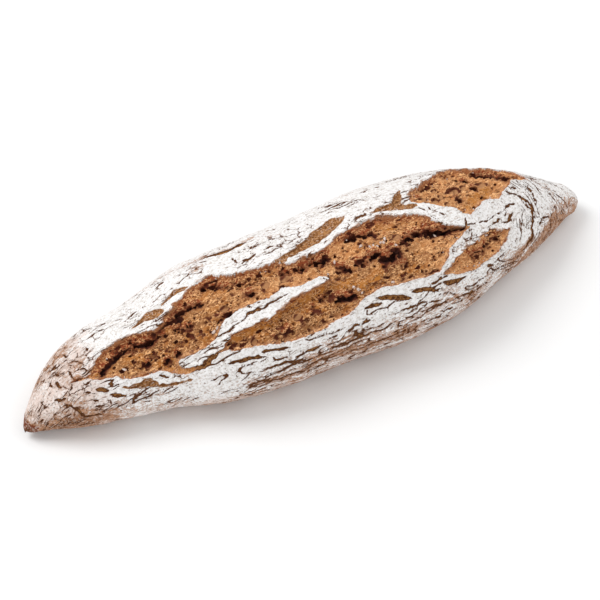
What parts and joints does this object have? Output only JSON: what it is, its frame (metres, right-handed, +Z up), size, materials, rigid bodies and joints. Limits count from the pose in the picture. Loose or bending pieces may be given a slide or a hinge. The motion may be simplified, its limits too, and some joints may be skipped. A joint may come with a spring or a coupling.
{
  "type": "mini baguette",
  "caption": "Slender hand-shaped loaf with tapered ends, a floured crust and torn scored openings along its top, lying on a flat sole.",
  "frame": {"origin": "middle of the loaf's bounding box, at the level of its sole", "axes": "+X along the loaf towards its blunter tip, +Z up out of the scored top"},
  "size_m": [0.24, 0.0657, 0.0477],
  "materials": {
    "crust": "matte, dusted with flour",
    "crumb": "matte, rough torn crumb"
  },
  "bodies": {
    "root": {"loaf": "crust"}
  },
  "joints": []
}
